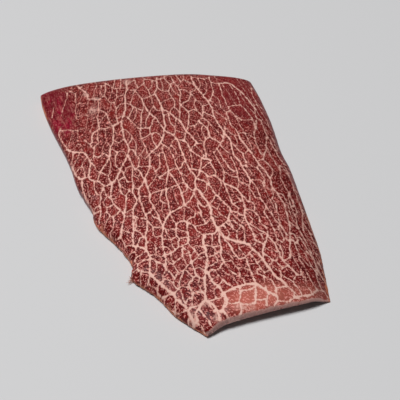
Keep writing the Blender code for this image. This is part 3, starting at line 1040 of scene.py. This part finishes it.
def slab_parts(net):
    """The closed slab: plan points, each point's level from 0 at the foot to 1 at the top, faces."""
    loop = outline_loop()
    top, top_faces = face_mesh(loop, net, TOP_SPACING)
    foot, foot_faces = face_mesh(loop, net, FOOT_SPACING)
    between = WALL_LEVELS[1:-1]
    plan = np.vstack([foot, top, *[loop] * len(between)])
    level = np.concatenate([np.zeros(len(foot)), np.ones(len(top)), np.repeat(between, len(loop))])
    first = len(foot) + len(top)
    rings = [np.arange(len(loop))]
    rings += [first + row * len(loop) + rings[0] for row in range(len(between))]
    rings.append(len(foot) + rings[0])
    faces = [tuple(face[::-1]) for face in foot_faces]
    faces += [tuple(face + len(foot)) for face in top_faces]
    for lower, upper in zip(rings, rings[1:]):
        ahead_lower, ahead_upper = np.roll(lower, -1), np.roll(upper, -1)
        faces += list(zip(lower, ahead_lower, ahead_upper, upper))
    return plan, level, [tuple(int(corner) for corner in face) for face in faces]


def slab_places(plan, level, distances):
    """Where the slab's points lie in space."""
    foot, top = heights(plan, distances)
    height = foot + level * (top - foot)
    outward = plan / np.linalg.norm(plan, axis=1, keepdims=True).clip(1)
    places = plan + outward * (WALL_BULGE * 4 * level * (1 - level))[:, None]
    return np.column_stack([places, height])


def nearest_shade(plan, bundles):
    """A number from 0 to 1 for each bundle of lean, at the points of that bundle."""
    tree = tree_of(bundles)
    shades = CHANCE.uniform(0, 1, len(bundles))
    return np.array([shades[tree.find((x, y, 0))[1]] for x, y in plan])


def give(mesh, name, values):
    """Stores a number for each point, for the material to read."""
    attribute = mesh.attributes.new(name, "FLOAT", "POINT")
    attribute.data.foreach_set("value", np.asarray(values, np.float32))


def raise_veins(mesh, depth, height):
    """Lifts the fat slightly above the lean, except where the slab rests."""
    normals = np.empty(len(mesh.vertices) * 3, np.float32)
    mesh.vertices.foreach_get("normal", normals)
    places = np.empty_like(normals)
    mesh.vertices.foreach_get("co", places)
    lift = VEIN_RISE * fade(depth, *VEIN_FOOT) * (height > VEIN_CLEAR)
    places = places.reshape(-1, 3) + normals.reshape(-1, 3) * (lift * MM)[:, None]
    mesh.vertices.foreach_set("co", places.astype(np.float32).ravel())
    mesh.update()


def dryness(plan, level, distances):
    """How dry the rims are: the flank, the back left corner and the front of the right side."""
    flank_top = DRY_FLANK_LOSS * ease((level - DRY_FLANK_TOP[0]) / DRY_FLANK_TOP[1])
    at_flank = fade(distances["flank"], *DRY_FLANK_FADE) * (1 - flank_top)
    at_corner = fade(distances["left"], *DRY_CORNER_FADE) * blob(plan, *DRY_CORNER)
    at_right = fade(distances["right"], *DRY_RIGHT_FADE) * front_part(plan)
    shares = [DRY_FLANK_SHARE * at_flank, DRY_CORNER_SHARE * at_corner, DRY_RIGHT_SHARE * at_right]
    return np.max(shares, axis=0)


def front_part(plan):
    """0 towards the back of the steak and 1 towards its front."""
    return ease((FRONT_PART_START - plan[:, 1]) / FRONT_PART_REACH)


def painted_light(plan, level):
    """How lit the surface is painted: painted shade darkens the shoulder, the back, the patches and the
    foot.
    """
    to_back = plan[:, 1]
    painted_shade = SHOULDER_PAINTED_SHADE * shoulder(plan) * ease((SHOULDER_PAINTED_SHADE_END - to_back) / PAINTED_SHADE_REACH)
    painted_shade += BACK_PAINTED_SHADE * ease((to_back - BACK_PAINTED_SHADE_START) / PAINTED_SHADE_REACH)
    painted_shade += sum(strength * blob(plan, *place) for strength, *place in PAINTED_SHADE_PATCHES)
    return (1 - painted_shade) * (1 - FOOT_PAINTED_SHADE * fade(level, *FOOT_FADE))


def zones(plan, level, distances):
    """Where the surface differs: each name with a share from 0 to 1 for each point."""
    left_wall = fade(distances["left"], *MAUVE_LEFT_FADE) * fade(level, *WALL_FADE)
    # painted sheen along the back part of the right rim
    right_sheen = fade(distances["right"], *SHEEN_RIGHT_FADE) * (1 - front_part(plan))
    return {
        "wine": blob(plan, *WINE_CORNER),
        "pale": pale_front_and_sheen(plan),
        "smooth": blob(plan, *FAINT_SHOULDER),
        "pool": np.max([blob(plan, *place) for place in FAT_POOLS], axis=0),
        # painted shade, as a share of full light
        "painted_light": painted_light(plan, level),
        "dry": dryness(plan, level, distances),
        "mauve_and_sheen": np.maximum(left_wall, SHEEN_RIGHT_SHARE * right_sheen),
        "grey": fade(distances["front"], *GREY_FADE),
    }


def tuft():
    """Frayed fibres at the flank's notch: tapered strands as (points in space, faces)."""
    points, faces = [], []
    root = np.array(TUFT_PLACE)
    for index in range(TUFT_STRANDS):
        turn = math.radians(CHANCE.uniform(*TUFT_TURNS))
        length = CHANCE.uniform(*TUFT_LENGTHS)
        start = root + CHANCE.uniform(-1, 1, 3) * TUFT_SPREAD
        run = np.array([math.cos(turn), math.sin(turn), CHANCE.uniform(*TUFT_RISE)])
        side = np.array([-run[1], run[0], 0])
        bend = CHANCE.uniform(-TUFT_BEND, TUFT_BEND)
        first = len(points)
        for share in TUFT_RINGS:
            middle = start + length * share * (run + bend * share * side)
            radius = TUFT_RADIUS * (1 - TUFT_TAPER * share)
            for corner in range(3):
                angle = corner * 2 * math.pi / 3
                points.append(middle + radius * (math.cos(angle) * side + math.sin(angle) * UP))
        points.append(start + length * (run + bend * side))
        faces.append((first + 2, first + 1, first))
        for ring in (first, first + 3):
            for corner in range(3):
                ahead = (corner + 1) % 3
                faces.append((ring + corner, ring + ahead, ring + 3 + ahead, ring + 3 + corner))
        faces += [(first + 6 + corner, first + 6 + (corner + 1) % 3, first + 9) for corner in range(3)]
    return np.array(points), faces


def steak_piece(net, bundles):
    """The whole visible steak as one mesh: the slab and the tuft that grows from it."""
    plan, level, faces = slab_parts(net)
    distances = rim_distances(plan)
    places = slab_places(plan, level, distances)
    strands, strand_faces = tuft()
    faces += [tuple(corner + len(plan) for corner in face) for face in strand_faces]
    places = np.vstack([places, strands])
    plan = places[:, :2]
    level = np.concatenate([level, np.full(len(strands), TUFT_LEVEL)])
    distances = rim_distances(plan)
    depth = net.depth(plan)
    mesh = bpy.data.meshes.new("steak")
    mesh.from_pydata((places * MM).tolist(), [], faces)
    mesh.shade_smooth()
    raise_veins(mesh, depth, places[:, 2])
    grain = plan_to_grain(plan)
    give(mesh, "vein", depth.clip(*VEIN_RANGE))
    give(mesh, "shade", nearest_shade(plan, bundles))
    give(mesh, "across", grain[:, 0])
    give(mesh, "along", grain[:, 1])
    give(mesh, "height", places[:, 2])
    give(mesh, "beside", distances["left"])
    for name, values in zones(plan, level, distances).items():
        values[len(plan) - len(strands) :] = name in ("dry", "painted_light")
        give(mesh, name, values)
    piece = bpy.data.objects.new("steak", mesh)
    bpy.context.scene.collection.objects.link(piece)
    return piece


def add(tree, kind, inputs=None, **settings):
    """A new shader node. Inputs are fixed values or other nodes' outputs."""
    node = tree.nodes.new(kind)
    for name, value in settings.items():
        setattr(node, name, value)
    for name, value in (inputs or {}).items():
        if isinstance(value, bpy.types.NodeSocket):
            tree.links.new(value, node.inputs[name])
        else:
            node.inputs[name].default_value = value
    return node


def number(tree, name):
    """A number stored on the mesh."""
    return add(tree, "ShaderNodeAttribute", attribute_name=name).outputs["Fac"]


def maths(tree, operation, *values):
    """The result of a sum on numbers or sockets."""
    return add(tree, "ShaderNodeMath", dict(enumerate(values)), operation=operation).outputs[0]


def between(tree, value, start, end, low=0.0, high=1.0):
    """A smooth step from low to high while the value goes from start to end."""
    inputs = {"Value": value, "From Min": start, "From Max": end, "To Min": low, "To Max": high}
    node = add(tree, "ShaderNodeMapRange", inputs, interpolation_type="SMOOTHSTEP")
    return node.outputs["Result"]


def blend(tree, share, first, second, kind="MIX"):
    """Two colours mixed."""
    node = add(tree, "ShaderNodeMix", data_type="RGBA", blend_type=kind)
    for socket, value in ((0, share), (6, first), (7, second)):
        if isinstance(value, bpy.types.NodeSocket):
            tree.links.new(value, node.inputs[socket])
        else:
            node.inputs[socket].default_value = value
    return node.outputs[2]


def noise(tree, place, size, detail=2.0, roughness=0.55):
    """Noise from 0 to 1 whose patches are about this large, in millimetres."""
    inputs = {"Vector": place, "Scale": 1 / size, "Detail": detail, "Roughness": roughness}
    return add(tree, "ShaderNodeTexNoise", inputs).outputs["Fac"]


def around_zero(tree, value, span):
    """A noise from 0 to 1, spread over this span around 0."""
    return maths(tree, "MULTIPLY_ADD", value, span, -span / 2)


def shaken(tree, place, size, detail, far):
    """A place moved about by noise."""
    inputs = {"Vector": place, "Scale": 1 / size, "Detail": detail}
    drift = add(tree, "ShaderNodeTexNoise", inputs).outputs["Color"]
    centred = add(tree, "ShaderNodeVectorMath", {0: drift, 1: (0.5, 0.5, 0.5)}, operation="SUBTRACT")
    scaled = add(tree, "ShaderNodeVectorMath", {0: centred.outputs[0], "Scale": far}, operation="SCALE")
    moved = add(tree, "ShaderNodeVectorMath", {0: place, 1: scaled.outputs[0]}, operation="ADD")
    return moved.outputs[0]


def wine_colour(tree, place, lean, share):
    """Wine red with streaks along the left edge and crimson blotches."""
    beside, along = number(tree, "beside"), number(tree, "along")
    inputs = {0: beside, 1: maths(tree, "MULTIPLY", along, STREAK_STRETCH)}
    streak_place = add(tree, "ShaderNodeCombineXYZ", inputs)
    streaks = noise(tree, streak_place.outputs[0], *WINE_STREAKS)
    blotches = noise(tree, place, *WINE_BLOTCHES)
    wine = blend(tree, between(tree, blotches, *BLOTCH_STEP), LEAN_WINE, CRIMSON)
    wine = blend(tree, between(tree, streaks, *FAT_STREAK_STEP), wine, FAT_THIN)
    wine = blend(tree, between(tree, streaks, *DARK_STREAK_STEP), wine, LEAN_DARK)
    return blend(tree, maths(tree, "MULTIPLY", share, WINE_SHARE), lean, wine)


def lean_colour(tree, place, rough_place, depth):
    """Dark red lean: mottled, flecked with threads of fat, darkest beside the veins."""
    mottle = noise(tree, rough_place, *MOTTLE)
    patches = noise(tree, place, *PATCHES)
    lean = blend(tree, between(tree, mottle, *MOTTLE_STEP), LEAN_DARK, LEAN_MID)
    lean = blend(tree, between(tree, patches, *PATCH_STEP), lean, LEAN_LIGHT)
    lean = blend(tree, between(tree, number(tree, "shade"), *BUNDLE_STEP), lean, LEAN_DARK)
    lean = blend(tree, between(tree, depth, *BESIDE_STEP), lean, LEAN_DARK)
    edge = around_zero(tree, noise(tree, place, *WINE_EDGE), WINE_SHIFT)
    near = number(tree, "wine")
    wine = between(tree, maths(tree, "ADD", near, edge), *WINE_STEP)
    wine = maths(tree, "MULTIPLY", wine, between(tree, near, *WINE_RIM_STEP))
    lean = wine_colour(tree, place, lean, wine)
    # the pale front strip: fattier lean with painted sheen
    lean = blend(tree, maths(tree, "MULTIPLY", number(tree, "pale"), PALE_SHEEN_SHARE), lean, PALE_LEAN_AND_SHEEN)
    smooth = number(tree, "smooth")
    lean = blend(tree, maths(tree, "MULTIPLY", smooth, SMOOTH_SHARE), lean, SMOOTH_LEAN)

    inputs = {0: rough_place, 1: FLECK_STRETCH}
    square = add(tree, "ShaderNodeVectorMath", inputs, operation="MULTIPLY").outputs[0]
    curls = maths(tree, "ABSOLUTE", maths(tree, "SUBTRACT", noise(tree, square, *CURLS), 0.5))
    curls = between(tree, curls, *CURL_STEP)
    broken = between(tree, noise(tree, square, *CURL_BREAKS), *BREAK_STEP)
    specks = between(tree, noise(tree, square, *SPECKS), *SPECK_STEP)
    flecks = maths(tree, "MAXIMUM", maths(tree, "MULTIPLY", curls, broken), specks)
    flecks = maths(tree, "MULTIPLY", flecks, between(tree, wine, *WINE_FLECK_STEP))
    flecks = maths(tree, "MULTIPLY", flecks, between(tree, smooth, *SMOOTH_FLECK_STEP))
    return blend(tree, flecks, lean, FLECK), flecks, mottle


def meat_material():
    """Marbled beef: fat veins, flecked lean, dried rims."""
    material = bpy.data.materials.new("marbled_beef")
    material.use_nodes = True
    tree = material.node_tree
    surface = tree.nodes["Principled BSDF"]

    across, along, height = (number(tree, name) for name in ("across", "along", "height"))
    lifted = maths(tree, "MULTIPLY", height, WALL_STRETCH)
    place = add(tree, "ShaderNodeCombineXYZ", {0: across, 1: along, 2: lifted}).outputs[0]
    rough_place = shaken(tree, place, *DRIFT, DRIFT_FAR)

    frayed = around_zero(tree, noise(tree, place, *FRAY), FRAY_SHIFT)
    depth = maths(tree, "ADD", number(tree, "vein"), frayed)
    fat = between(tree, depth, *FAT_STEP)

    meat, flecks, mottle = lean_colour(tree, place, rough_place, depth)
    thickness = between(tree, depth, *THICK_STEP)
    meat = blend(tree, fat, meat, blend(tree, thickness, FAT_THIN, FAT))
    smudge = maths(tree, "MULTIPLY", number(tree, "pool"), between(tree, mottle, *POOL_STEP))
    meat = blend(tree, smudge, meat, FAT)
    # painted shade: the colour is multiplied by the painted light share
    meat = blend(tree, 1.0, meat, number(tree, "painted_light"), "MULTIPLY")

    ragged = around_zero(tree, noise(tree, place, *RAGGED), RAGGED_SHIFT)
    # the grey front wall, the mauve left wall with painted sheen on the right rim, and the dry rims
    for name, shown, most in RIMS:
        near = maths(tree, "ADD", number(tree, name), ragged)
        share = between(tree, near, *RIM_STEP, 0.0, most)
        meat = blend(tree, share, meat, shown)
    tree.links.new(meat, surface.inputs["Base Color"])

    relief = maths(tree, "MULTIPLY", mottle, RELIEF_MOTTLE)
    relief = maths(tree, "MULTIPLY_ADD", fat, RELIEF_FAT, relief)
    relief = maths(tree, "MULTIPLY_ADD", flecks, RELIEF_FLECKS, relief)
    inputs = {"Height": relief, "Strength": BUMP_STRENGTH, "Distance": BUMP_HEIGHT}
    bump = add(tree, "ShaderNodeBump", inputs)
    tree.links.new(bump.outputs[0], surface.inputs["Normal"])
    rough = between(tree, mottle, *ROUGHNESS_STEP)
    tree.links.new(rough, surface.inputs["Roughness"])
    surface.inputs["Specular IOR Level"].default_value = SPECULAR
    return material


def plain_material(name, shown, roughness):
    """A plain matte finish."""
    material = bpy.data.materials.new(name)
    material.use_nodes = True
    surface = material.node_tree.nodes["Principled BSDF"]
    surface.inputs["Base Color"].default_value = shown
    surface.inputs["Roughness"].default_value = roughness
    return material


def floor():
    """A plain pale table top."""
    mesh = bpy.data.meshes.new("floor")
    signs = ((-1, -1), (1, -1), (1, 1), (-1, 1))
    corners = [(x * FLOOR_HALF, y * FLOOR_HALF, FLOOR_DROP) for x, y in signs]
    mesh.from_pydata(corners, [], [(0, 1, 2, 3)])
    mesh.materials.append(plain_material("table", FLOOR_COLOUR, FLOOR_ROUGHNESS))
    piece = bpy.data.objects.new("floor", mesh)
    bpy.context.scene.collection.objects.link(piece)


def lamp(name, place, aim, size, power):
    """A soft square lamp that shines at a place."""
    light = bpy.data.lights.new(name, "AREA")
    light.energy = power
    light.size = size
    lamp_object = bpy.data.objects.new(name, light)
    lamp_object.location = place
    lamp_object.rotation_euler = (Vector(aim) - Vector(place)).to_track_quat("-Z", "Y").to_euler()
    bpy.context.scene.collection.objects.link(lamp_object)


def studio():
    """Pale surroundings and a large soft lamp."""
    world = bpy.data.worlds.new("studio")
    world.use_nodes = True
    sky = world.node_tree.nodes["Background"]
    sky.inputs["Color"].default_value = WHITE
    sky.inputs["Strength"].default_value = SKY_STRENGTH
    bpy.context.scene.world = world
    lamp("overhead", LAMP_PLACE, (0, 0, 0), LAMP_SIZE, LAMP_POWER)
    bpy.context.scene.view_settings.view_transform = "Standard"


def camera():
    """The long lens above the front."""
    tilt = math.radians(ELEVATION)
    data = bpy.data.cameras.new("camera")
    data.lens = LENS
    data.sensor_width = SENSOR
    data.clip_start = CLIP_START
    seen = bpy.data.objects.new("camera", data)
    back = Vector((0, -math.cos(tilt), math.sin(tilt)))
    seen.location = (Vector(AIM) + DISTANCE * back) * MM
    seen.rotation_euler = (math.pi / 2 - tilt, 0, 0)
    bpy.context.scene.collection.objects.link(seen)
    bpy.context.scene.camera = seen


veins = main_veins()
veins += loose_ends(veins)
loop = outline_loop()
lesser, bundles = lesser_veins(veins, loop)
net = VeinNet(veins + lesser, TOP_SPACING)
steak = steak_piece(net, bundles)
steak.data.materials.append(meat_material())
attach(steak, "root")
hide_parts("beef_steak")
floor()
studio()
camera()
